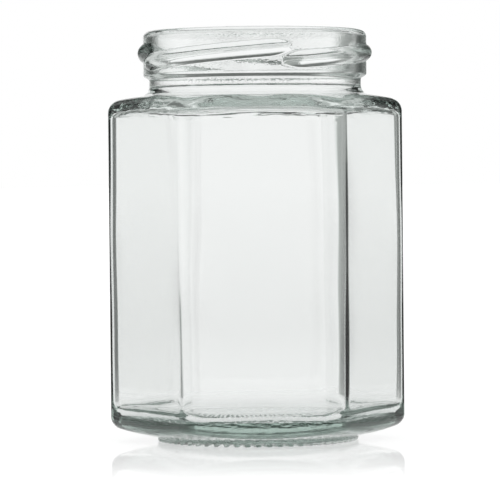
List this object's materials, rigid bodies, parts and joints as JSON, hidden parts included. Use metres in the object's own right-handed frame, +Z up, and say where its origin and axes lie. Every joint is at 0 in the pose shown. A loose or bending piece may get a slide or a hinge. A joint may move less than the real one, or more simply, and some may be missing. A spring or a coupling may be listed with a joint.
{
  "type": "hexagonal glass jar",
  "caption": "Empty hexagonal jar of clear glass with rounded corners, a round neck with lugs for a twist-off lid, and a raised ring to stand on.",
  "frame": {"origin": "centre of the standing ring, on the plane the jar stands on", "axes": "+Z up through the mouth; X through two opposite corners of the hexagon; -Y out of a flat side"},
  "size_m": [0.0768, 0.0684, 0.1068],
  "materials": {
    "clear_glass": "smooth moulded soda-lime glass, clear with a faint green tint where thick"
  },
  "bodies": {
    "root": {"jar": "clear_glass"}
  },
  "joints": []
}
